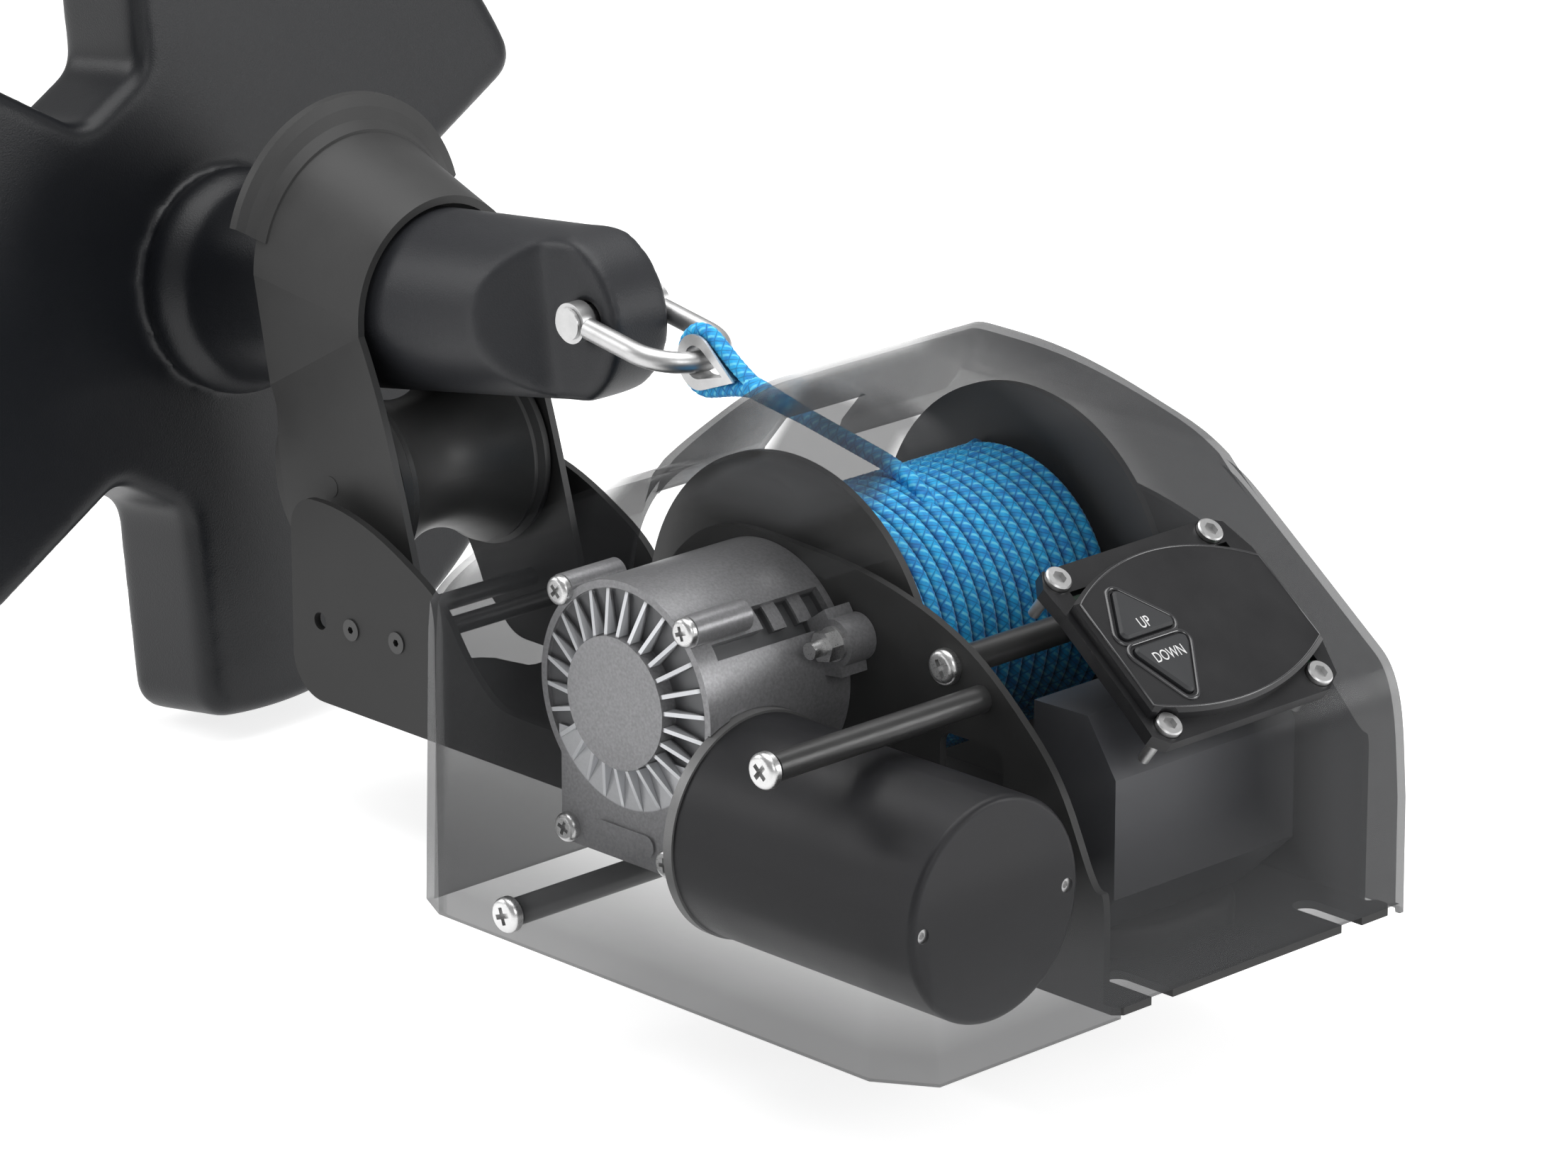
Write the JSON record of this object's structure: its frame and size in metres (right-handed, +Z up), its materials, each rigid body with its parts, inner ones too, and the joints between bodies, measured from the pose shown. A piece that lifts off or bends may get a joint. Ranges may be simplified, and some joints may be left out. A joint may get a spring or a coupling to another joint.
{
  "type": "anchor windlass",
  "caption": "Bow-mounted electric anchor windlass with a smoked clear cover, roped drum, worm gearbox, motor, key pod, davit with roller and a docked fluke anchor.",
  "frame": {"origin": "centre of the four deck bolt positions, on the underside of the base", "axes": "+X aft towards the key pod, +Y to the side away from the motor, +Z up"},
  "size_m": [0.6168, 0.333, 0.3437],
  "materials": {
    "frame_black": "fine-texture powder coat",
    "davit_black": "satin powder coat",
    "drum_black": "satin powder coat",
    "gearbox_black": "satin paint on a casting",
    "motor_black": "gloss paint",
    "motor_ring": "matt cast",
    "anchor_vinyl": "thick pebbled vinyl coating",
    "rope_blue": "braided nylon with pale flecks",
    "steel_bright": "zinc plated",
    "stainless": "polished stainless",
    "roller_black": "moulded nylon",
    "pod_black": "moulded, satin",
    "button_grey": "soft-touch",
    "box_black": "moulded, satin",
    "cover_smoke": "clear smoke, polished",
    "rubber_black": "matt",
    "bronze": "machined bronze",
    "worm_steel": "ground steel",
    "magnet": "sintered",
    "board_green": "laminate",
    "relay_case": "moulded",
    "oxide_black": "black oxide"
  },
  "bodies": {
    "frame": {"chassis": "frame_black", "nose_cross_rods": "oxide_black", "nose_spacers": "rubber_black", "nose_rod_screws": "oxide_black", "davit": "davit_black", "roller_axle": "davit_black", "roller_washers": "rubber_black", "near_shaft_bush": "bronze", "far_shaft_bush": "bronze", "gearbox_housing": "gearbox_black", "gearbox_cover": "gearbox_black", "gearbox_cover_screws": "steel_bright", "gearbox_studs": "steel_bright", "gearbox_nuts": "steel_bright", "output_bearing": "worm_steel", "worm_bearings": "worm_steel", "motor_flange": "motor_ring", "motor_can": "motor_black", "motor_end_cap": "motor_black", "motor_tie_screws": "steel_bright", "motor_magnets": "magnet", "cover_standoffs": "oxide_black", "cover_screws": "steel_bright", "upper_cross_rod": "oxide_black", "upper_rod_screws": "steel_bright", "relay_box": "box_black", "relay_box_lid": "box_black", "relays": "relay_case", "relay_board": "board_green", "cable_gland": "rubber_black", "pod_housing": "pod_black", "button_springs": "steel_bright", "switch_board": "board_green", "pod_screws": "stainless", "cover": "cover_smoke", "anchor": "anchor_vinyl", "shackle_pin": "stainless", "thimble": "stainless", "rope_eye": "rope_blue", "rope_run": "rope_blue"},
    "drum_spin": {"drum": "drum_black", "drum_shaft": "worm_steel", "drum_circlips": "worm_steel", "rope_winding": "rope_blue", "worm_wheel": "bronze"},
    "armature": {"worm": "worm_steel", "motor_armature": "magnet"},
    "bow_roller": {"bow_roller": "roller_black"},
    "up_key": {"up_button": "button_grey"},
    "down_key": {"down_button": "button_grey"},
    "shackle_link": {"shackle": "stainless"}
  },
  "joints": [
    {"name": "drum_turn", "type": "hinge", "parent": "frame", "child": "drum_spin", "pos_m": [-0.0585, 0, 0.087], "axis": [0, 1, 0], "continuous": true},
    {"name": "armature_turn", "type": "hinge", "parent": "frame", "child": "armature", "pos_m": [0, -0.118, 0.0485], "axis": [1, 0, 0], "continuous": true},
    {"name": "roller_turn", "type": "hinge", "parent": "frame", "child": "bow_roller", "pos_m": [-0.3233, 0, 0.0805], "axis": [0, 1, 0], "continuous": true},
    {"name": "up_key_press", "type": "slide", "parent": "frame", "child": "up_key", "axis": [-0.6, 0, -0.8], "range_m": [0, 0.0012], "stiffness_N_per_m": 900},
    {"name": "down_key_press", "type": "slide", "parent": "frame", "child": "down_key", "axis": [-0.6, 0, -0.8], "range_m": [0, 0.0012], "stiffness_N_per_m": 900},
    {"name": "shackle_swing", "type": "hinge", "parent": "frame", "child": "shackle_link", "pos_m": [-0.2115, 0, 0.1642], "axis": [0, 1, 0], "range_deg": [-1.5, 1.5]}
  ],
  "couplings": [
    {"joint": "armature_turn", "follows": "drum_turn", "ratio": -30}
  ]
}
